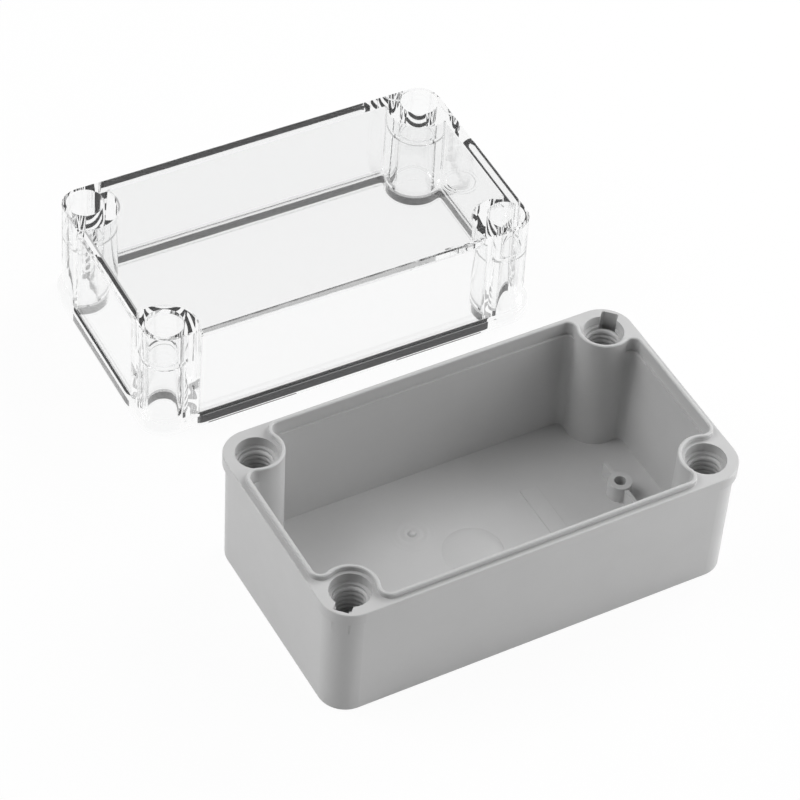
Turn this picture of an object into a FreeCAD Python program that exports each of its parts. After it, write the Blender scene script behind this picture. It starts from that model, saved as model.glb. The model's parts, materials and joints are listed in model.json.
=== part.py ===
import FreeCAD, Part
import math
import os

# Small sealed case in two mouldings, taken apart: a grey base tray and, standing beside it,
# its deep clear lid with the rim seal in place. Millimetres, +Z up.
# The origin is the middle of the base's underside; X runs along the base.

# Whole case, at the parting plane where both mouldings share one outline
case_length = 140.0
case_width = 80.0
screw_inset = 10.0          # outer edge to each screw axis; the rim corners are round about it
base_height = 43.7          # underside to the shoulder on which the lid closes
lid_height = 40.4           # rim to outer face

# Base wall
collar_height = 4.0         # upright band round the top of the base
collar_step = 1.0           # how far the band stands out from the wall below it
wall_draft = 0.35           # the wall leans in by this much towards the underside
foot_bevel = 0.5            # moulded edge along the underside
rim_bevel = 0.25            # moulded edge along the outside of the shoulder
floor_thickness = 2.9
cavity_draft = 1.2          # the cavity closes in by this much, ledge to floor
ledge_drop = 3.2            # shoulder to the ledge inside the straight walls
ledge_width = 0.9

# Tongue that stands on the shoulder, runs along the walls and bends round each screw post
shoulder_width = 1.8        # outer edge to the tongue
tongue_width = 1.2
tongue_height = 1.8
tongue_bevel = 0.3          # eased edges along the tongue's top
tongue_root = 0.35          # how far it reaches down into the shoulder
bend_r = 3.2                # middle line of each bend beside a post

# Screw posts of the base
mouth_d = 12.8              # plain mouth that takes the screw's shank
mouth_depth = 3.4
post_land = 1.1             # flat ring between the mouth and the tongue
thread_d = 10.8             # core of the lid screw's thread
fixing_d = 4.4              # wall-fixing hole in the bottom of each post
fixing_web = 3.0            # thickness under the fixing screw's head
key_width = 5.4             # key slot on the outer side of two of the mouths
key_reach = 8.6             # screw axis to the slot's end
key_depth = 9.0

# Board standoffs on the floor, one near each end, each on its own cross rib
standoff_x = 52.0
standoff_d = 7.6
standoff_height = 6.0
standoff_pilot_d = 3.8
standoff_pilot_depth = 5.0
rib_length = 18.6
rib_width = 1.3
rib_drop = 0.6              # standoff top to rib top

# Low plain pad on the floor
pad_x = 24.7
pad_length = 5.8
pad_width = 28.0
pad_height = 0.25

# Lid shell
flange_inset = 0.5          # base outline to the lid's flange
flange_height = 4.7         # flange round the lid's rim
wall_inset = 2.0            # base outline to the lid's wall above the flange
lid_draft = 0.5             # the wall leans in by this much towards the top
top_bevel = 0.42            # moulded edge round the outer face
lid_plate = 4.0             # thickness under the outer face
ceiling_bevel = 0.5         # eased corner between the lid's inner walls and its plate
lid_cavity_draft = 0.8      # the inner walls close in by this much, rim to plate
lid_bend_r = 0.5            # corner between an inner wall and a screw post

# Screw bores of the lid
bore_d = 12.3
bore_depth = 12.5           # outer face to the ring under the screw's head
ring_thickness = 1.8
ring_d = 10.9

# Groove for the seal, and the seal; the tongue closes into the groove
groove_clearance = 0.5      # groove wall to tongue, each side
groove_depth = 4.15
groove_inner_wall = 0.9     # wall between the groove and the inside of the lid
seal_recess = 0.9           # rim to the seal
seal_gap = 0.05             # seal to groove, all round

# Shallow lifting recesses along the long sides of the rim, each side of a middle land
land_length = 36.0
pry_depth = 0.5
pry_end = 11.2              # screw axis to the recess's end

# Where the lid stands
lid_gap = 43.0              # base's long side to the lid's long side
lid_shift = 1.3
lid_turn = -0.96            # degrees

# Worked out from the sizes above
half_length = case_length / 2
half_width = case_width / 2
screw_x = half_length - screw_inset
screw_y = half_width - screw_inset
tongue_inset = shoulder_width + tongue_width / 2
tongue_r = mouth_d / 2 + post_land + tongue_width / 2
groove_width = tongue_width + 2 * groove_clearance
SIGNS = ((1, 1), (-1, 1), (-1, -1), (1, -1))
OVERLAP = 1.0               # how far cutters run past what they cut


def unit(a, b):
    """Unit vector in the plane from a to b."""
    length = math.hypot(b[0] - a[0], b[1] - a[1])
    return ((b[0] - a[0]) / length, (b[1] - a[1]) / length)


def middle_of_arc(centre, radius, start, end):
    """Point on the short arc half way between two of its points."""
    u = unit(centre, start)
    v = unit(centre, end)
    w = unit((0.0, 0.0), (u[0] + v[0], u[1] + v[1]))
    return (centre[0] + radius * w[0], centre[1] + radius * w[1])


def closed_wire(corner, z):
    """Wire through one corner's run of arcs, mirrored to all four corners and joined by lines."""
    edges = []
    last = None
    first = None
    for index, (sx, sy) in enumerate(SIGNS):
        run = corner if index % 2 == 0 else corner[::-1]
        points = [FreeCAD.Vector(sx * x, sy * y, z) for x, y in run]
        if last is None:
            first = points[0]
        else:
            edges.append(Part.LineSegment(last, points[0]).toShape())
        for k in range(0, len(points) - 1, 2):
            edges.append(Part.Arc(points[k], points[k + 1], points[k + 2]).toShape())
        last = points[-1]
    edges.append(Part.LineSegment(last, first).toShape())
    return Part.Wire(edges)


def plain_wire(inset, z):
    """Case outline moved in by the inset, with its corners rounded about the screw axes."""
    hx = half_length - inset
    hy = half_width - inset
    r = screw_inset - inset
    centre = (hx - r, hy - r)
    start = (hx, hy - r)
    end = (hx - r, hy)
    return closed_wire([start, middle_of_arc(centre, r, start, end), end], z)


def bent_wire(inset, post_r, bend, z):
    """Line along the walls that bends round each screw post on its inner side."""
    hx = half_length - inset
    hy = half_width - inset
    post = (screw_x, screw_y)
    reach = post_r + bend
    rise = hy - bend - screw_y
    long_bend = (screw_x - math.sqrt(reach ** 2 - rise ** 2), hy - bend)
    rise = hx - bend - screw_x
    short_bend = (hx - bend, screw_y - math.sqrt(reach ** 2 - rise ** 2))
    on_short = (hx, short_bend[1])
    on_long = (long_bend[0], hy)
    u = unit(short_bend, post)
    from_short = (short_bend[0] + bend * u[0], short_bend[1] + bend * u[1])
    u = unit(long_bend, post)
    from_long = (long_bend[0] + bend * u[0], long_bend[1] + bend * u[1])
    corner = [on_short, middle_of_arc(short_bend, bend, on_short, from_short), from_short,
              middle_of_arc(post, post_r, from_short, from_long), from_long,
              middle_of_arc(long_bend, bend, from_long, on_long), on_long]
    return closed_wire(corner, z)


def tongue_line(offset, z):
    """Middle line of tongue and groove, moved towards the inside of the case by the offset."""
    return bent_wire(tongue_inset + offset, tongue_r + offset, bend_r - offset, z)


def raised(wire, height):
    return Part.Face(wire).extrude(FreeCAD.Vector(0, 0, height))


def lofted(lower, upper):
    return Part.makeLoft([lower, upper], True, True)


def cylinder(diameter, height, x, y, z):
    return Part.makeCylinder(diameter / 2, height, FreeCAD.Vector(x, y, z))


def box(x0, x1, y0, y1, z0, z1):
    return Part.makeBox(x1 - x0, y1 - y0, z1 - z0, FreeCAD.Vector(x0, y0, z0))


def edges_at(shape, z):
    """Edges that lie wholly in one level plane."""
    near = 1e-4
    return [e for e in shape.Edges if abs(e.BoundBox.ZMin - z) < near and abs(e.BoundBox.ZMax - z) < near]


def ring_between(outer, inner, z, height):
    """Closed band between two offsets of the line that tongue, groove and seal share."""
    body = raised(tongue_line(outer, z), height)
    hole = raised(tongue_line(inner, z - OVERLAP), height + 2 * OVERLAP)
    return body.cut(hole)


def base_block():
    """Outside of the base: leaning wall with an eased foot, and the upright band above it."""
    band_z = base_height - collar_height
    wall = lofted(plain_wire(collar_step + wall_draft, 0), plain_wire(collar_step, band_z))
    wall = wall.makeChamfer(foot_bevel, edges_at(wall, 0))
    band = raised(plain_wire(0, band_z), collar_height)
    band = band.makeChamfer(rim_bevel, edges_at(band, base_height))
    return wall.fuse(band)


def tongue():
    """Tongue with eased edges, rooted a little way into the shoulder."""
    half = tongue_width / 2
    ring = ring_between(-half, half, base_height - tongue_root, tongue_height + tongue_root)
    return ring.makeChamfer(tongue_bevel, edges_at(ring, base_height + tongue_height))


def base_cavity():
    """Inside of the base: flush with the tongue at the top, then a ledge and leaning walls."""
    half = tongue_width / 2
    ledge_z = base_height - ledge_drop
    mouth = raised(tongue_line(half, ledge_z), ledge_drop + tongue_height + OVERLAP)
    wall_in = tongue_inset + half + ledge_width
    post_r = tongue_r + half
    upper = bent_wire(wall_in, post_r, bend_r - half, ledge_z)
    lower = bent_wire(wall_in + cavity_draft, post_r + cavity_draft / 2, bend_r - half, floor_thickness)
    return lofted(lower, upper).fuse(mouth)


def key_slot(sx, sy):
    """Slot from a screw's mouth towards the case's outer corner."""
    slot = box(0, key_reach, -key_width / 2, key_width / 2, base_height - key_depth, base_height + OVERLAP)
    slot.rotate(FreeCAD.Vector(0, 0, 0), FreeCAD.Vector(0, 0, 1), math.degrees(math.atan2(sy, sx)))
    slot.translate(FreeCAD.Vector(sx * screw_x, sy * screw_y, 0))
    return slot


def base_bores():
    """Screw bores: plain mouth, threaded core, and the wall-fixing hole below."""
    cuts = []
    for sx, sy in SIGNS:
        x = sx * screw_x
        y = sy * screw_y
        cuts.append(cylinder(mouth_d, mouth_depth + OVERLAP, x, y, base_height - mouth_depth))
        cuts.append(cylinder(thread_d, base_height - fixing_web, x, y, fixing_web))
        cuts.append(cylinder(fixing_d, fixing_web + 2 * OVERLAP, x, y, -OVERLAP))
        if sx == sy:
            cuts.append(key_slot(sx, sy))
    return cuts


def standoff(side):
    """Board standoff with its pilot hole, on a rib across the floor."""
    x = side * standoff_x
    z = floor_thickness - rib_drop
    rib_top = floor_thickness + standoff_height - rib_drop
    post = cylinder(standoff_d, standoff_height + rib_drop, x, 0, z)
    rib = box(x - rib_width / 2, x + rib_width / 2, -rib_length / 2, rib_length / 2, z, rib_top)
    pilot_z = floor_thickness + standoff_height - standoff_pilot_depth
    pilot = cylinder(standoff_pilot_d, standoff_pilot_depth + OVERLAP, x, 0, pilot_z)
    return post.fuse(rib).cut(pilot)


def floor_pad():
    """Low pad on the floor, rooted in it by its own height."""
    root_z = floor_thickness - pad_height
    top_z = floor_thickness + pad_height
    return box(pad_x, pad_x + pad_length, -pad_width / 2, pad_width / 2, root_z, top_z)


def make_base():
    shell = base_block().cut(base_cavity())
    shell = shell.fuse([tongue(), floor_pad(), standoff(1), standoff(-1)])
    return shell.cut(base_bores()).removeSplitter()


def lid_block():
    """Outside of the lid: flange and leaning wall with an eased top edge."""
    flange = raised(plain_wire(flange_inset, 0), flange_height)
    wall = lofted(plain_wire(wall_inset, flange_height), plain_wire(wall_inset + lid_draft, lid_height))
    wall = wall.makeChamfer(top_bevel, edges_at(wall, lid_height))
    return flange.fuse(wall)


def lid_cavity():
    """Inside of the lid: within the groove's inner wall at the rim, closing in towards the plate."""
    rim_in = groove_width / 2 + groove_inner_wall
    ceiling_z = lid_height - lid_plate
    wall_in = tongue_inset + rim_in
    post_r = tongue_r + rim_in
    top_in = wall_in + lid_cavity_draft
    top_r = post_r + lid_cavity_draft / 2
    lower = bent_wire(wall_in, post_r, lid_bend_r, -OVERLAP)
    upper = bent_wire(top_in, top_r, lid_bend_r, ceiling_z - ceiling_bevel)
    ceiling = bent_wire(top_in + ceiling_bevel, top_r + ceiling_bevel, lid_bend_r, ceiling_z)
    return lofted(lower, upper).fuse(lofted(upper, ceiling))


def lid_bores():
    """Bores through the lid, each left with a ring for the screw's head."""
    cuts = []
    ring_z = lid_height - bore_depth - ring_thickness
    for sx, sy in SIGNS:
        x = sx * screw_x
        y = sy * screw_y
        cuts.append(cylinder(bore_d, bore_depth + OVERLAP, x, y, lid_height - bore_depth))
        cuts.append(cylinder(ring_d, ring_thickness + 2 * OVERLAP, x, y, ring_z - OVERLAP))
        cuts.append(cylinder(bore_d, ring_z + OVERLAP, x, y, -OVERLAP))
    return cuts


def pry_recesses():
    """Shallow recesses under the flange, from the middle land to the corners."""
    cuts = []
    depth = tongue_inset - groove_width / 2
    for sx, sy in SIGNS:
        x0, x1 = sorted((sx * land_length / 2, sx * (screw_x - pry_end)))
        y0, y1 = sorted((sy * (half_width + OVERLAP), sy * (half_width - depth)))
        cuts.append(box(x0, x1, y0, y1, -OVERLAP, pry_depth))
    return cuts


def lid_to_rest(shape):
    """Moves the lid or its seal from the case's own axes to where the lid stands."""
    shape.rotate(FreeCAD.Vector(0, 0, 0), FreeCAD.Vector(0, 0, 1), lid_turn)
    shape.translate(FreeCAD.Vector(lid_shift, case_width + lid_gap, 0))
    return shape


def make_lid():
    shell = lid_block().cut(lid_cavity())
    groove = ring_between(-groove_width / 2, groove_width / 2, -OVERLAP, groove_depth + OVERLAP)
    shell = shell.cut([groove] + lid_bores() + pry_recesses())
    return lid_to_rest(shell.removeSplitter())


def make_seal():
    """Rim seal, lying in the lid's groove."""
    half = groove_width / 2 - seal_gap
    height = groove_depth - seal_recess - seal_gap
    return lid_to_rest(ring_between(-half, half, seal_recess, height))


def main():
    os.makedirs("parts", exist_ok=True)
    pieces = {"base_tray": make_base(), "clear_lid": make_lid(), "rim_seal": make_seal()}
    for name, shape in pieces.items():
        if shape.ShapeType == "Compound" and len(shape.Solids) == 1:
            shape = shape.Solids[0]
        shape.exportStep("parts/" + name + ".step")


main()
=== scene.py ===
"""Small sealed case taken apart on a white table: grey base tray, and a deep clear lid with its rim seal.

Everything is in metres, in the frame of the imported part: X along the base, Y towards the lid, Z up.
"""

import json
import math

import bmesh
import bpy
from mathutils import Matrix, Vector


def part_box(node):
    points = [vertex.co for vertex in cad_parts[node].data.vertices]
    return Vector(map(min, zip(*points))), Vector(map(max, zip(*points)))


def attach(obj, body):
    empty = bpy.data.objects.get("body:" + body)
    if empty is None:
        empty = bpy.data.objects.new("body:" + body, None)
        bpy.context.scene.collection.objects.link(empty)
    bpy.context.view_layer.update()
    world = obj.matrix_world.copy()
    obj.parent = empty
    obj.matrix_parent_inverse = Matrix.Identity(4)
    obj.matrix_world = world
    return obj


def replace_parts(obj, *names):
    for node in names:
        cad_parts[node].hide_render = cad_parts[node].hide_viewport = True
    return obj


bl_info = {
    "name": "Sealed Case Finishes",
    "version": (1, 0, 0),
    "blender": (4, 5, 0),
    "location": "3D View > Sidebar > Case",
    "description": "Moulded plastic, clear lid, seal, screw threads and studio for a small sealed case",
    "category": "Object",
}

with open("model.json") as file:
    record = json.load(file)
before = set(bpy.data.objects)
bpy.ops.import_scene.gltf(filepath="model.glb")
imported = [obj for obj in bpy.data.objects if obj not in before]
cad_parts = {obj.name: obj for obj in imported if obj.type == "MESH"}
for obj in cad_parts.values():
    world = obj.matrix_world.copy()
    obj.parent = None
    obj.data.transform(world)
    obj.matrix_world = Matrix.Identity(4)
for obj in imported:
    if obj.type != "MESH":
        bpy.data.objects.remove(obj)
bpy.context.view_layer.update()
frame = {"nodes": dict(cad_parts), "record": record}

MM = 0.001
WHITE = (1.0, 1.0, 1.0, 1.0)
BASE = "base"
LID = "lid"


def mount(name):
    """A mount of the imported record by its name."""
    return next(m for m in frame["record"]["mounts"] if m["name"] == name)


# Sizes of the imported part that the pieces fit
SCREWS = mount("lid_screw_threads")["dims"]
BASE_TOP_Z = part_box("base_tray")[1].z
LID_TOP_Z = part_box("clear_lid")[1].z
TONGUE_HEIGHT = 1.8 * MM
SHOULDER_Z = BASE_TOP_Z - TONGUE_HEIGHT
COLLAR_FOOT_Z = SHOULDER_Z - 4.0 * MM
WALL_LEAN = 0.35 * MM
FLOOR_Z = 2.9 * MM

# Upright fillets in the outer corners of the key slots, laid out along and across the slot
FILLET_FOOT_Z = SHOULDER_Z - 9.1 * MM
FILLET_TOP_Z = SHOULDER_Z - 0.02 * MM
FILLET_BACK_RADIUS = 8.97 * MM
FILLET_START = 12.5
FILLET_SWEEP = 8.5
FILLET_STEPS = 6
FILLET_NOSE = (7.9 * MM, 2.85 * MM)

# Studio
LAMP_DISTANCE = 1.1
LAMP_SIZE = 0.7
TABLE_REACH = 4.0
TABLE_GREY = 0.86
ROOM_STARTS = 0.22
ROOM_ALONE = 0.7
LIGHT_BOUNCES = 32
CLEAR_BOUNCES = 24
SENSOR_WIDTH = 36.0
HALF_PIXEL = 0.5 / 800


def screw_axis(end, edge):
    """Middle of one screw bore; end and edge are -1 or 1."""
    return end * SCREWS["spacing_x_mm"] / 2 * MM, edge * SCREWS["spacing_y_mm"] / 2 * MM


# Settings

class PlasticSettings(bpy.types.PropertyGroup):
    """The base's moulded plastic."""

    colour: bpy.props.FloatVectorProperty(
        name="Colour", description="Colour of the grey moulding", subtype="COLOR", size=3,
        default=(0.54, 0.54, 0.54), min=0.0, max=1.0)
    mottle: bpy.props.FloatProperty(
        name="Mottle", description="Share by which the grey varies over the moulding",
        default=0.035, min=0.0, max=0.5, subtype="FACTOR")
    roughness: bpy.props.FloatProperty(
        name="Roughness", description="Roughness of the satin surface",
        default=0.43, min=0.0, max=1.0, subtype="FACTOR")
    grain_size: bpy.props.FloatProperty(
        name="Grain size", description="Width of one grain of the eroded surface",
        default=0.32 * MM, unit="LENGTH")
    grain_depth: bpy.props.FloatProperty(
        name="Grain depth", description="Depth of the eroded grain", default=0.006 * MM, unit="LENGTH")
    edge_ease: bpy.props.FloatProperty(
        name="Edge easing", description="Radius by which moulded edges catch the light",
        default=0.12 * MM, unit="LENGTH")


class ClearSettings(bpy.types.PropertyGroup):
    """The lid's clear plastic."""

    tint: bpy.props.FloatVectorProperty(
        name="Tint", description="Colour left in light that passes the lid's surfaces",
        subtype="COLOR", size=3, default=(0.967, 0.969, 0.969), min=0.0, max=1.0)
    ior: bpy.props.FloatProperty(
        name="Refraction", description="Index of refraction of the clear plastic",
        default=1.585, min=1.0, max=2.0)
    roughness: bpy.props.FloatProperty(
        name="Roughness", description="Roughness where the polish is dullest",
        default=0.045, min=0.0, max=1.0,
        subtype="FACTOR")
    wave_depth: bpy.props.FloatProperty(
        name="Wave depth", description="Depth of the flow waves in the surface",
        default=0.004 * MM, unit="LENGTH")


class SealSettings(bpy.types.PropertyGroup):
    """The foam rubber of the rim seal."""

    colour: bpy.props.FloatVectorProperty(
        name="Colour", description="Colour of the rim seal", subtype="COLOR", size=3,
        default=(0.05, 0.05, 0.053), min=0.0, max=1.0)
    pore_size: bpy.props.FloatProperty(
        name="Pore size", description="Width of one pore of the foam rubber",
        default=0.25 * MM, unit="LENGTH")
    press: bpy.props.FloatProperty(
        name="Press", description="How far the front run swells against the groove's outer wall",
        default=0.08 * MM, unit="LENGTH")


class ThreadSettings(bpy.types.PropertyGroup):
    """Coarse moulded threads in the base's screw bores."""

    pitch: bpy.props.FloatProperty(
        name="Pitch", description="Height of one turn", default=1.9 * MM, unit="LENGTH")
    ridge: bpy.props.FloatProperty(
        name="Ridge", description="How far each ridge stands in from the bore's wall",
        default=0.72 * MM, unit="LENGTH")
    mouth_depth: bpy.props.FloatProperty(
        name="Mouth depth", description="Shoulder to the first turn", default=3.5 * MM, unit="LENGTH")
    turns: bpy.props.FloatProperty(
        name="Turns", description="Turns of thread in each bore", default=11.0, min=1.0)


class MarkSettings(bpy.types.PropertyGroup):
    """Marks that moulding leaves on the base's floor and the lid's top."""

    gate: bpy.props.FloatVectorProperty(
        name="Gate", description="Middle of the gate mark on the base's floor", size=2, subtype="XYZ_LENGTH",
        default=(-14.1 * MM, 13.0 * MM))
    gate_radius: bpy.props.FloatProperty(
        name="Gate radius", description="Radius of the ripples round the gate",
        default=7.4 * MM, unit="LENGTH")
    dish: bpy.props.FloatVectorProperty(
        name="Dish", description="Middle of the low domed mark on the base's floor",
        size=2, subtype="XYZ_LENGTH", default=(-0.6 * MM, -1.3 * MM))
    dish_radius: bpy.props.FloatProperty(
        name="Dish radius", description="Radius of the low domed mark", default=9.7 * MM, unit="LENGTH")
    dish_rise: bpy.props.FloatProperty(
        name="Dish rise", description="Rise of the low domed mark", default=1.3 * MM, unit="LENGTH")
    lid_gate: bpy.props.FloatVectorProperty(
        name="Lid gate", description="Middle of the gate rings on the lid's top",
        size=2, subtype="XYZ_LENGTH", default=(55.1 * MM, 112.1 * MM))
    lid_gate_radius: bpy.props.FloatProperty(
        name="Lid gate radius", description="Radius of the gate's outer ring on the lid",
        default=5.85 * MM, unit="LENGTH")
    lid_gate_depth: bpy.props.FloatProperty(
        name="Lid gate depth", description="Height of the gate's rings on the lid",
        default=0.035 * MM, unit="LENGTH")


class StageSettings(bpy.types.PropertyGroup):
    """Camera, lamps and table."""

    azimuth: bpy.props.FloatProperty(
        name="Azimuth", description="Camera's direction round the object",
        default=math.radians(-31.414), unit="ROTATION")
    elevation: bpy.props.FloatProperty(
        name="Elevation", description="Camera's height angle",
        default=math.radians(45.533), unit="ROTATION")
    roll: bpy.props.FloatProperty(
        name="Roll", description="Camera's turn about its own line of sight",
        default=math.radians(4.270), unit="ROTATION")
    distance: bpy.props.FloatProperty(
        name="Distance", description="Camera to the point it looks at", default=1136.4 * MM, unit="LENGTH")
    target: bpy.props.FloatVectorProperty(
        name="Target", description="Point that the camera looks at", size=3, subtype="XYZ_LENGTH",
        default=(10.93 * MM, 66.51 * MM, 0.9 * MM))
    focal_length: bpy.props.FloatProperty(
        name="Focal length", description="Focal length in millimetres on a 36 mm sensor", default=160.74)
    left_power: bpy.props.FloatProperty(
        name="Left lamp", description="Power of the softbox on the left", default=7.3, unit="POWER")
    right_power: bpy.props.FloatProperty(
        name="Right lamp", description="Power of the softbox on the right", default=2.3, unit="POWER")
    right_low_power: bpy.props.FloatProperty(
        name="Low right lamp", description="Power of the low softbox on the right",
        default=6.4, unit="POWER")
    left_low_power: bpy.props.FloatProperty(
        name="Low left lamp", description="Power of the low softbox on the left", default=2.3, unit="POWER")
    back_right_power: bpy.props.FloatProperty(
        name="Back right lamp", description="Power of the softbox behind on the right",
        default=8.2, unit="POWER")
    fill: bpy.props.FloatProperty(
        name="Fill", description="Strength of the even light from all round", default=0.02)
    mirrored: bpy.props.FloatProperty(
        name="Mirrored room", description="Brightness of the room as polished surfaces show it",
        default=0.5)
    table_white: bpy.props.FloatProperty(
        name="Table white", description="Share by which the lens sees the table plain white instead of lit",
        default=0.95, min=0.0, max=1.0, subtype="FACTOR")


class CaseSettings(bpy.types.PropertyGroup):
    """All settings of the case."""

    plastic: bpy.props.PointerProperty(type=PlasticSettings)
    clear: bpy.props.PointerProperty(type=ClearSettings)
    seal: bpy.props.PointerProperty(type=SealSettings)
    thread: bpy.props.PointerProperty(type=ThreadSettings)
    marks: bpy.props.PointerProperty(type=MarkSettings)
    stage: bpy.props.PointerProperty(type=StageSettings)


# Helpers for node trees and meshes

def new_material(name):
    """Material with its own Principled shader, and that shader."""
    material = bpy.data.materials.new(name)
    material.use_nodes = True
    return material, material.node_tree.nodes["Principled BSDF"]


def add_node(tree, kind, values=None, **settings):
    """Node with its settings, and its inputs set by name or number."""
    node = tree.nodes.new(kind)
    for key, value in settings.items():
        setattr(node, key, value)
    for key, value in (values or {}).items():
        node.inputs[key].default_value = value
    return node


def object_position(tree):
    """Output that gives the place on the object in metres."""
    return add_node(tree, "ShaderNodeTexCoord").outputs["Object"]


def noise(tree, size, detail=3.0):
    """Noise whose lumps are about as wide as the size."""
    node = add_node(tree, "ShaderNodeTexNoise", {"Scale": 1.0 / size, "Detail": detail, "Roughness": 0.55})
    tree.links.new(object_position(tree), node.inputs["Vector"])
    return node.outputs["Fac"]


def maths(tree, operation, first, second=0.0):
    """Maths node on sockets or numbers; gives its output."""
    node = add_node(tree, "ShaderNodeMath", operation=operation)
    for socket, value in zip(node.inputs, (first, second)):
        if isinstance(value, bpy.types.NodeSocket):
            tree.links.new(value, socket)
        else:
            socket.default_value = value
    return node.outputs[0]


def spread(tree, value, low, high):
    """Value from 0 to 1 spread from low to high."""
    node = add_node(tree, "ShaderNodeMapRange", {"To Min": low, "To Max": high})
    tree.links.new(value, node.inputs["Value"])
    return node.outputs["Result"]


def replace_materials(obj, material):
    """The object shows only this material."""
    obj.data.materials.clear()
    obj.data.materials.append(material)


def revolved(name, centre, heights, radius, steps):
    """Closed round mesh on the floor whose height above the floor follows a function of its radius."""
    mesh = bmesh.new()
    rings = 36
    sink = 0.05 * MM
    middle = mesh.verts.new((centre[0], centre[1], FLOOR_Z + heights(0.0)))
    last = None
    for ring in range(1, rings + 1):
        r = radius * ring / rings
        z = FLOOR_Z + heights(r) - (sink if ring == rings else 0.0)
        row = []
        for step in range(steps):
            angle = math.tau * step / steps
            row.append(mesh.verts.new((centre[0] + r * math.cos(angle), centre[1] + r * math.sin(angle), z)))
        for step in range(steps):
            after = (step + 1) % steps
            if last is None:
                mesh.faces.new((middle, row[step], row[after]))
            else:
                mesh.faces.new((last[step], row[step], row[after], last[after]))
        last = row
    mesh.faces.new(last[::-1])
    return finished_object(name, mesh)


def finished_object(name, mesh):
    """Object at the origin from a bmesh, with its faces outwards and shaded smooth."""
    bmesh.ops.recalc_face_normals(mesh, faces=mesh.faces)
    data = bpy.data.meshes.new(name)
    mesh.to_mesh(data)
    mesh.free()
    data.shade_smooth()
    data.set_sharp_from_angle(angle=math.radians(35))
    obj = bpy.data.objects.new(name, data)
    bpy.context.scene.collection.objects.link(obj)
    return obj


# Materials

def plastic_material(settings):
    """Satin grey plastic with a fine eroded grain, faint mottling and eased edges."""
    existing = bpy.data.materials.get("moulded_grey")
    if existing:
        return existing
    mottle_size = 14 * MM
    polish_patch = 5 * MM
    polish_spread = 0.04
    material, shader = new_material("moulded_grey")
    tree = material.node_tree
    mix = add_node(tree, "ShaderNodeMix", data_type="RGBA")
    colour = Vector(settings.colour)
    mix.inputs["A"].default_value = (*(colour * (1.0 - settings.mottle)), 1.0)
    mix.inputs["B"].default_value = (*(colour * (1.0 + settings.mottle)), 1.0)
    tree.links.new(noise(tree, mottle_size), mix.inputs["Factor"])
    tree.links.new(mix.outputs["Result"], shader.inputs["Base Color"])
    polish = spread(tree, noise(tree, polish_patch), settings.roughness - polish_spread,
                    settings.roughness + polish_spread)
    tree.links.new(polish, shader.inputs["Roughness"])
    bevel = add_node(tree, "ShaderNodeBevel", {"Radius": settings.edge_ease}, samples=6)
    bump = add_node(tree, "ShaderNodeBump", {"Strength": 0.6, "Distance": settings.grain_depth})
    tree.links.new(noise(tree, settings.grain_size), bump.inputs["Height"])
    tree.links.new(bevel.outputs["Normal"], bump.inputs["Normal"])
    tree.links.new(bump.outputs["Normal"], shader.inputs["Normal"])
    return material


def ridge(tree, distance, radius, width):
    """Height from 0 to 1 of a round ridge at the radius."""
    off = maths(tree, "ABSOLUTE", maths(tree, "SUBTRACT", distance, radius))
    return maths(tree, "MAXIMUM", maths(tree, "SUBTRACT", 1.0, maths(tree, "DIVIDE", off, width)), 0.0)


def gate_rings(tree, marks):
    """Height from 0 to 1 of the gate's two rings and nib, on the lid's top alone."""
    outer_width = 0.35 * MM
    outer_height = 0.6
    inner_radius = marks.lid_gate_radius * 0.8
    inner_width = 0.45 * MM
    nib_radius = 0.6 * MM
    top_only = LID_TOP_Z - 0.1 * MM
    split = add_node(tree, "ShaderNodeSeparateXYZ")
    tree.links.new(object_position(tree), split.inputs[0])
    flat = add_node(tree, "ShaderNodeCombineXYZ")
    tree.links.new(split.outputs["X"], flat.inputs["X"])
    tree.links.new(split.outputs["Y"], flat.inputs["Y"])
    apart = add_node(tree, "ShaderNodeVectorMath", {1: (*marks.lid_gate, 0.0)}, operation="DISTANCE")
    tree.links.new(flat.outputs[0], apart.inputs[0])
    distance = apart.outputs["Value"]
    outer = ridge(tree, distance, marks.lid_gate_radius, outer_width)
    inner = ridge(tree, distance, inner_radius, inner_width)
    nib = ridge(tree, distance, 0.0, nib_radius)
    rings = maths(tree, "ADD", maths(tree, "MULTIPLY", outer, outer_height), maths(tree, "ADD", inner, nib))
    return maths(tree, "MULTIPLY", rings, maths(tree, "GREATER_THAN", split.outputs["Z"], top_only))


def clear_material(settings, marks):
    """Polished clear plastic: faint flow waves, a slightly uneven polish, and gate rings on the top."""
    polish_patch = 8 * MM
    wave_length = 7 * MM
    material, shader = new_material("clear_polished")
    tree = material.node_tree
    shader.inputs["Base Color"].default_value = (*settings.tint, 1.0)
    shader.inputs["IOR"].default_value = settings.ior
    shader.inputs["Transmission Weight"].default_value = 1.0
    polish = spread(tree, noise(tree, polish_patch), 0.0, settings.roughness)
    tree.links.new(polish, shader.inputs["Roughness"])
    waves = add_node(tree, "ShaderNodeBump", {"Strength": 1.0, "Distance": settings.wave_depth})
    tree.links.new(noise(tree, wave_length, 1.0), waves.inputs["Height"])
    rings = add_node(tree, "ShaderNodeBump", {"Strength": 1.0, "Distance": marks.lid_gate_depth})
    tree.links.new(gate_rings(tree, marks), rings.inputs["Height"])
    tree.links.new(waves.outputs["Normal"], rings.inputs["Normal"])
    tree.links.new(rings.outputs["Normal"], shader.inputs["Normal"])
    return material


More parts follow.
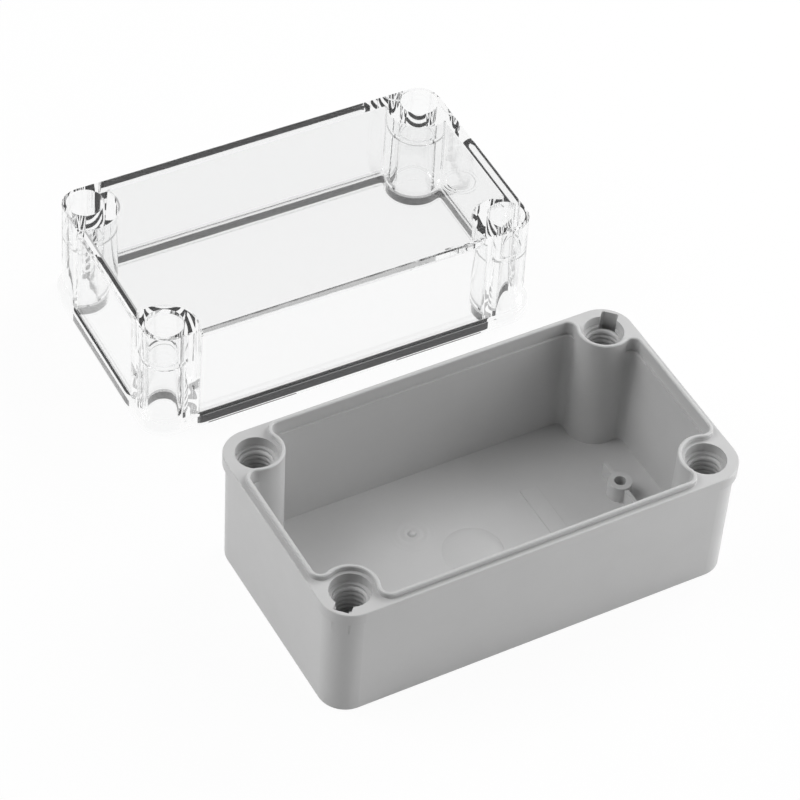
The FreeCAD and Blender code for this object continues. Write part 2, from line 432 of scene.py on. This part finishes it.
def seal_material(settings):
    """Dark foam rubber with fine pores."""
    darker, lighter = 0.8, 1.25
    polish_patch = 3 * MM
    smoothest, roughest = 0.62, 0.78
    pore_depth = 0.05 * MM
    material, shader = new_material("seal_rubber")
    tree = material.node_tree
    mix = add_node(tree, "ShaderNodeMix", data_type="RGBA")
    colour = Vector(settings.colour)
    mix.inputs["A"].default_value = (*(colour * darker), 1.0)
    mix.inputs["B"].default_value = (*(colour * lighter), 1.0)
    pores = noise(tree, settings.pore_size)
    tree.links.new(pores, mix.inputs["Factor"])
    tree.links.new(mix.outputs["Result"], shader.inputs["Base Color"])
    polish = spread(tree, noise(tree, polish_patch), smoothest, roughest)
    tree.links.new(polish, shader.inputs["Roughness"])
    bump = add_node(tree, "ShaderNodeBump", {"Strength": 0.5, "Distance": pore_depth})
    tree.links.new(pores, bump.inputs["Height"])
    tree.links.new(bump.outputs["Normal"], shader.inputs["Normal"])
    return material


# Pieces

class CASE_OT_base_finish(bpy.types.Operator):
    """Gives the base tray its satin moulded plastic"""

    bl_idname = "case.base_finish"
    bl_label = "Base finish"

    def execute(self, context):
        replace_materials(frame["nodes"]["base_tray"], plastic_material(context.scene.case.plastic))
        return {"FINISHED"}


class CASE_OT_lid_finish(bpy.types.Operator):
    """Gives the lid its clear plastic"""

    bl_idname = "case.lid_finish"
    bl_label = "Lid finish"

    def execute(self, context):
        case = context.scene.case
        replace_materials(frame["nodes"]["clear_lid"], clear_material(case.clear, case.marks))
        return {"FINISHED"}


def press_front(mesh, distance):
    """Swells the seal's long front run towards -Y, where it lies against the groove's outer wall."""
    facing_front = -0.9
    run_depth = 3 * MM
    front = min(vert.co.y for vert in mesh.verts)
    pressed = set()
    for face in mesh.faces:
        if face.normal.y < facing_front and face.calc_center_median().y < front + run_depth:
            pressed.update(face.verts)
    for vert in pressed:
        vert.co.y -= distance


class CASE_OT_rim_seal(bpy.types.Operator):
    """Presses the foam rubber seal into the groove of the lid's rim"""

    bl_idname = "case.rim_seal"
    bl_label = "Rim seal"

    def execute(self, context):
        seal = context.scene.case.seal
        mesh = bmesh.new()
        mesh.from_mesh(frame["nodes"]["rim_seal"].data)
        bmesh.ops.remove_doubles(mesh, verts=mesh.verts, dist=0.001 * MM)
        mesh.normal_update()
        press_front(mesh, seal.press)
        obj = finished_object("pressed_seal", mesh)
        replace_materials(obj, seal_material(seal))
        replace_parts(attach(obj, LID), "rim_seal")
        return {"FINISHED"}


def thread_tree(material):
    """Geometry nodes that wind one rounded ridge, thin at both ends, down each screw bore."""
    steps_per_turn = 40
    profile_points = 16
    taper_turns = 1.6
    tip = 0.03
    start_angle = math.radians(-121)
    tree = bpy.data.node_groups.new("BoreThreads", "GeometryNodeTree")
    face = tree.interface
    face.new_socket(name="Geometry", in_out="INPUT", socket_type="NodeSocketGeometry")
    for name in ("Bore Radius", "Ridge", "Pitch", "Turns"):
        face.new_socket(name=name, in_out="INPUT", socket_type="NodeSocketFloat")
    face.new_socket(name="Geometry", in_out="OUTPUT", socket_type="NodeSocketGeometry")
    links = tree.links
    given = add_node(tree, "NodeGroupInput").outputs
    result = add_node(tree, "NodeGroupOutput")
    height = maths(tree, "MULTIPLY", given["Pitch"], given["Turns"])
    spiral = add_node(tree, "GeometryNodeCurveSpiral", {"Resolution": steps_per_turn})
    links.new(given["Turns"], spiral.inputs["Rotations"])
    links.new(given["Bore Radius"], spiral.inputs["Start Radius"])
    links.new(given["Bore Radius"], spiral.inputs["End Radius"])
    links.new(height, spiral.inputs["Height"])
    upright = add_node(tree, "GeometryNodeSetCurveNormal", mode="Z_UP")
    links.new(spiral.outputs["Curve"], upright.inputs["Curve"])
    along = add_node(tree, "GeometryNodeSplineParameter").outputs["Factor"]
    nearest_end = maths(tree, "MINIMUM", along, maths(tree, "SUBTRACT", 1.0, along))
    to_end = maths(tree, "MULTIPLY", nearest_end, given["Turns"])
    swell = maths(tree, "MINIMUM", maths(tree, "ADD", maths(tree, "DIVIDE", to_end, taper_turns), tip), 1.0)
    tapered = add_node(tree, "GeometryNodeSetCurveRadius")
    links.new(upright.outputs["Curve"], tapered.inputs["Curve"])
    links.new(swell, tapered.inputs["Radius"])
    ring = add_node(tree, "GeometryNodeCurvePrimitiveCircle", {"Resolution": profile_points, "Radius": 1.0})
    size = add_node(tree, "ShaderNodeCombineXYZ")
    links.new(given["Ridge"], size.inputs["X"])
    links.new(maths(tree, "MULTIPLY", given["Pitch"], 0.5), size.inputs["Y"])
    squashed = add_node(tree, "GeometryNodeTransform")
    links.new(ring.outputs["Curve"], squashed.inputs["Geometry"])
    links.new(size.outputs["Vector"], squashed.inputs["Scale"])
    swept = add_node(tree, "GeometryNodeCurveToMesh", {"Fill Caps": True})
    links.new(tapered.outputs["Curve"], swept.inputs["Curve"])
    links.new(squashed.outputs["Geometry"], swept.inputs["Profile Curve"])
    placed = add_node(tree, "GeometryNodeInstanceOnPoints", {"Rotation": (0.0, 0.0, start_angle)})
    links.new(given["Geometry"], placed.inputs["Points"])
    links.new(swept.outputs["Mesh"], placed.inputs["Instance"])
    real = add_node(tree, "GeometryNodeRealizeInstances")
    links.new(placed.outputs["Instances"], real.inputs["Geometry"])
    smooth = add_node(tree, "GeometryNodeSetShadeSmooth")
    links.new(real.outputs["Geometry"], smooth.inputs["Geometry"])
    painted = add_node(tree, "GeometryNodeSetMaterial", {"Material": material})
    links.new(smooth.outputs["Geometry"], painted.inputs["Geometry"])
    links.new(painted.outputs["Geometry"], result.inputs["Geometry"])
    return tree


def baked(obj, tree, values):
    """Runs a geometry tree on the object and leaves its result as a plain mesh."""
    modifier = obj.modifiers.new("shape", "NODES")
    modifier.node_group = tree
    for item in tree.interface.items_tree:
        if item.name in values:
            modifier[item.identifier] = values[item.name]
    seen = obj.evaluated_get(bpy.context.evaluated_depsgraph_get())
    shape = bpy.data.meshes.new_from_object(seen)
    obj.modifiers.clear()
    obj.data = shape


class CASE_OT_bore_threads(bpy.types.Operator):
    """Winds a coarse moulded thread down each screw bore of the base"""

    bl_idname = "case.bore_threads"
    bl_label = "Bore threads"

    def execute(self, context):
        case = context.scene.case
        thread = case.thread
        foot = SHOULDER_Z - thread.mouth_depth - thread.pitch / 2 - thread.turns * thread.pitch
        points = bmesh.new()
        for end in (-1, 1):
            for edge in (-1, 1):
                points.verts.new((*screw_axis(end, edge), foot))
        data = bpy.data.meshes.new("bore_threads")
        points.to_mesh(data)
        points.free()
        obj = bpy.data.objects.new("bore_threads", data)
        context.scene.collection.objects.link(obj)
        baked(obj, thread_tree(plastic_material(case.plastic)), {
            "Bore Radius": SCREWS["hole_r_mm"] * MM,
            "Ridge": thread.ridge,
            "Pitch": thread.pitch,
            "Turns": thread.turns,
        })
        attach(obj, BASE)
        return {"FINISHED"}


def slot_fillet(mesh, centre, towards, side):
    """Upright fillet in one outer corner of a key slot; its back follows the case's rounded corner."""
    rows = []
    for z in (FILLET_FOOT_Z, COLLAR_FOOT_Z, FILLET_TOP_Z):
        back = FILLET_BACK_RADIUS - WALL_LEAN * max(0.0, 1.0 - z / COLLAR_FOOT_Z)
        outline = []
        for step in range(FILLET_STEPS + 1):
            angle = math.radians(FILLET_START + FILLET_SWEEP * step / FILLET_STEPS)
            outline.append((back * math.cos(angle), back * math.sin(angle)))
        outline.append(FILLET_NOSE)
        row = []
        for along, across in outline:
            x = along * math.cos(towards) - side * across * math.sin(towards)
            y = along * math.sin(towards) + side * across * math.cos(towards)
            row.append(mesh.verts.new((centre[0] + x, centre[1] + y, z)))
        rows.append(row)
    count = len(rows[0])
    for low, high in zip(rows, rows[1:]):
        for place in range(count):
            after = (place + 1) % count
            mesh.faces.new((low[place], low[after], high[after], high[place]))
    mesh.faces.new(rows[0])
    mesh.faces.new(rows[-1])


class CASE_OT_slot_fillets(bpy.types.Operator):
    """Rounds the outer corners of the two key slots, where the case's wall is thinnest"""

    bl_idname = "case.slot_fillets"
    bl_label = "Slot fillets"

    def execute(self, context):
        mesh = bmesh.new()
        for end in (-1, 1):
            for side in (-1, 1):
                slot_fillet(mesh, screw_axis(end, end), math.atan2(end, end), side)
        obj = finished_object("slot_fillets", mesh)
        replace_materials(obj, plastic_material(context.scene.case.plastic))
        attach(obj, BASE)
        return {"FINISHED"}


class CASE_OT_floor_marks(bpy.types.Operator):
    """Puts the gate's ripples and the low domed mark on the base's floor"""

    bl_idname = "case.floor_marks"
    bl_label = "Floor marks"

    def execute(self, context):
        case = context.scene.case
        marks = case.marks
        nib_radius = 1.35 * MM
        nib_height = 0.7 * MM
        nib_flatness = 6
        ripple = 0.12 * MM
        ripple_pitch = 2.4 * MM
        dish_flatness = 3

        def gate_height(r):
            fade = max(0.0, 1.0 - r / marks.gate_radius)
            nib = nib_height * max(0.0, 1.0 - (r / nib_radius) ** nib_flatness)
            return nib + ripple * fade * (1.0 + math.cos(math.tau * r / ripple_pitch))

        def dish_height(r):
            return marks.dish_rise * max(0.0, 1.0 - (r / marks.dish_radius) ** dish_flatness)

        gate = revolved("floor_gate", marks.gate, gate_height, marks.gate_radius, 64)
        dish = revolved("floor_dish", marks.dish, dish_height, marks.dish_radius, 96)
        for obj in (gate, dish):
            replace_materials(obj, plastic_material(case.plastic))
            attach(obj, BASE)
        return {"FINISHED"}


# Stage

def direction(azimuth, elevation):
    """Unit vector towards a place round the object: azimuth 0 is in front, on the -Y side."""
    flat = math.cos(elevation)
    return Vector((math.sin(azimuth) * flat, -math.cos(azimuth) * flat, math.sin(elevation)))


def white_to_lens(tree, shader_input, lit, kind, share, mirrored):
    """Shows white to the lens, white of a given strength in mirrors and glass, and the lit shader elsewhere."""
    path = add_node(tree, "ShaderNodeLightPath").outputs
    bent = maths(tree, "MAXIMUM", path["Is Glossy Ray"], path["Is Transmission Ray"])
    seen = maths(tree, "MAXIMUM", path["Is Camera Ray"], bent)
    glow = add_node(tree, kind, {"Color": WHITE})
    tree.links.new(maths(tree, "MAXIMUM", path["Is Camera Ray"], maths(tree, "MULTIPLY", bent, mirrored)),
                   glow.inputs["Strength"])
    mix = add_node(tree, "ShaderNodeMixShader")
    tree.links.new(maths(tree, "MULTIPLY", seen, share), mix.inputs["Fac"])
    tree.links.new(lit, mix.inputs[1])
    tree.links.new(glow.outputs[0], mix.inputs[2])
    tree.links.new(mix.outputs[0], shader_input)


def far_off(tree, mirrored):
    """Brightness of the table in mirrors and glass: white round the case, and the room's own far from it."""
    length = add_node(tree, "ShaderNodeVectorMath", operation="LENGTH")
    tree.links.new(object_position(tree), length.inputs[0])
    reach = {"From Min": ROOM_STARTS, "From Max": ROOM_ALONE, "To Min": 1.0, "To Max": mirrored}
    fade = add_node(tree, "ShaderNodeMapRange", reach, interpolation_type="SMOOTHSTEP")
    tree.links.new(length.outputs["Value"], fade.inputs["Value"])
    return fade.outputs["Result"]


def table_material(share, mirrored):
    """White table that keeps a soft shadow."""
    material = bpy.data.materials.new("table_white")
    material.use_nodes = True
    tree = material.node_tree
    tree.nodes.clear()
    output = add_node(tree, "ShaderNodeOutputMaterial")
    lit = add_node(tree, "ShaderNodeBsdfDiffuse", {"Color": (TABLE_GREY, TABLE_GREY, TABLE_GREY, 1.0)})
    room = far_off(tree, mirrored)
    white_to_lens(tree, output.inputs["Surface"], lit.outputs[0], "ShaderNodeEmission", share, room)
    return material


def surroundings(scene, fill, mirrored):
    """Even light from all round, which shows white, and a little darker in mirrors and glass."""
    world = bpy.data.worlds.new("studio")
    world.use_nodes = True
    scene.world = world
    tree = world.node_tree
    tree.nodes.clear()
    output = add_node(tree, "ShaderNodeOutputWorld")
    lit = add_node(tree, "ShaderNodeBackground", {"Color": WHITE, "Strength": fill})
    white_to_lens(tree, output.inputs["Surface"], lit.outputs[0], "ShaderNodeBackground", 1.0, mirrored)


def softbox(scene, name, towards, power, target):
    """Square soft lamp that faces the target and isn't seen through the clear plastic."""
    data = bpy.data.lights.new(name, "AREA")
    data.size = LAMP_SIZE
    data.energy = power
    lamp = bpy.data.objects.new(name, data)
    lamp.visible_transmission = False
    scene.collection.objects.link(lamp)
    lamp.location = target + towards * LAMP_DISTANCE
    lamp.rotation_euler = (-towards).to_track_quat("-Z", "Y").to_euler()


# Each lamp's name, its turn from the camera and its height in degrees, and its power's setting
LAMPS = (
    ("lamp_left", -85, 50, "left_power"),
    ("lamp_right", 85, 50, "right_power"),
    ("lamp_right_low", 85, 15, "right_low_power"),
    ("lamp_left_low", -85, 15, "left_low_power"),
    ("lamp_back_right", 135, 35, "back_right_power"),
)


class CASE_OT_stage(bpy.types.Operator):
    """Makes the white table, the soft lamps and the camera"""

    bl_idname = "case.stage"
    bl_label = "Studio"

    def execute(self, context):
        scene = context.scene
        stage = scene.case.stage
        target = Vector(stage.target)
        scene.view_settings.view_transform = "Standard"
        scene.cycles.max_bounces = LIGHT_BOUNCES
        scene.cycles.glossy_bounces = CLEAR_BOUNCES
        scene.cycles.transmission_bounces = CLEAR_BOUNCES
        mesh = bmesh.new()
        corners = ((-1, -1), (1, -1), (1, 1), (-1, 1))
        mesh.faces.new([mesh.verts.new((x * TABLE_REACH, y * TABLE_REACH, 0.0)) for x, y in corners])
        table = finished_object("table", mesh)
        replace_materials(table, table_material(stage.table_white, stage.mirrored))
        surroundings(scene, stage.fill, stage.mirrored)
        for name, turn, height, power in LAMPS:
            towards = direction(stage.azimuth + math.radians(turn), math.radians(height))
            softbox(scene, name, towards, getattr(stage, power), target)
        self.camera(scene, stage, target)
        return {"FINISHED"}

    def camera(self, scene, stage, target):
        """Camera at the photographed angle."""
        back = direction(stage.azimuth, stage.elevation)
        right = Vector((math.cos(stage.azimuth), math.sin(stage.azimuth), 0.0))
        up = back.cross(right)
        c = math.cos(stage.roll)
        s = math.sin(stage.roll)
        turned = Matrix((c * right + s * up, c * up - s * right, back)).transposed()
        data = bpy.data.cameras.new("camera")
        data.lens = stage.focal_length
        data.sensor_width = SENSOR_WIDTH
        data.shift_x = -HALF_PIXEL
        data.shift_y = HALF_PIXEL
        data.clip_start = 0.05
        data.clip_end = 20.0
        camera = bpy.data.objects.new("camera", data)
        scene.collection.objects.link(camera)
        camera.matrix_world = Matrix.Translation(target + back * stage.distance) @ turned.to_4x4()
        scene.camera = camera


class CASE_PT_panel(bpy.types.Panel):
    """Sizes and finishes of the case"""

    bl_idname = "CASE_PT_panel"
    bl_label = "Sealed case"
    bl_space_type = "VIEW_3D"
    bl_region_type = "UI"
    bl_category = "Case"

    def draw(self, context):
        case = context.scene.case
        for name in ("plastic", "clear", "seal", "thread", "marks", "stage"):
            box = self.layout.box()
            box.label(text=name.capitalize())
            group = getattr(case, name)
            for key in group.__annotations__:
                box.prop(group, key)
        for operator in PIECES:
            self.layout.operator(operator.bl_idname)


SETTINGS = (PlasticSettings, ClearSettings, SealSettings, ThreadSettings, MarkSettings, StageSettings,
            CaseSettings)
PIECES = (CASE_OT_base_finish, CASE_OT_bore_threads, CASE_OT_slot_fillets, CASE_OT_floor_marks,
          CASE_OT_lid_finish, CASE_OT_rim_seal, CASE_OT_stage)


def register():
    for item in SETTINGS + PIECES + (CASE_PT_panel,):
        bpy.utils.register_class(item)
    bpy.types.Scene.case = bpy.props.PointerProperty(type=CaseSettings)


def unregister():
    del bpy.types.Scene.case
    for item in reversed(SETTINGS + PIECES + (CASE_PT_panel,)):
        bpy.utils.unregister_class(item)


def main():
    register()
    bpy.ops.case.base_finish()
    bpy.ops.case.bore_threads()
    bpy.ops.case.slot_fillets()
    bpy.ops.case.floor_marks()
    bpy.ops.case.lid_finish()
    bpy.ops.case.rim_seal()
    bpy.ops.case.stage()


if __name__ == "__main__":
    main()
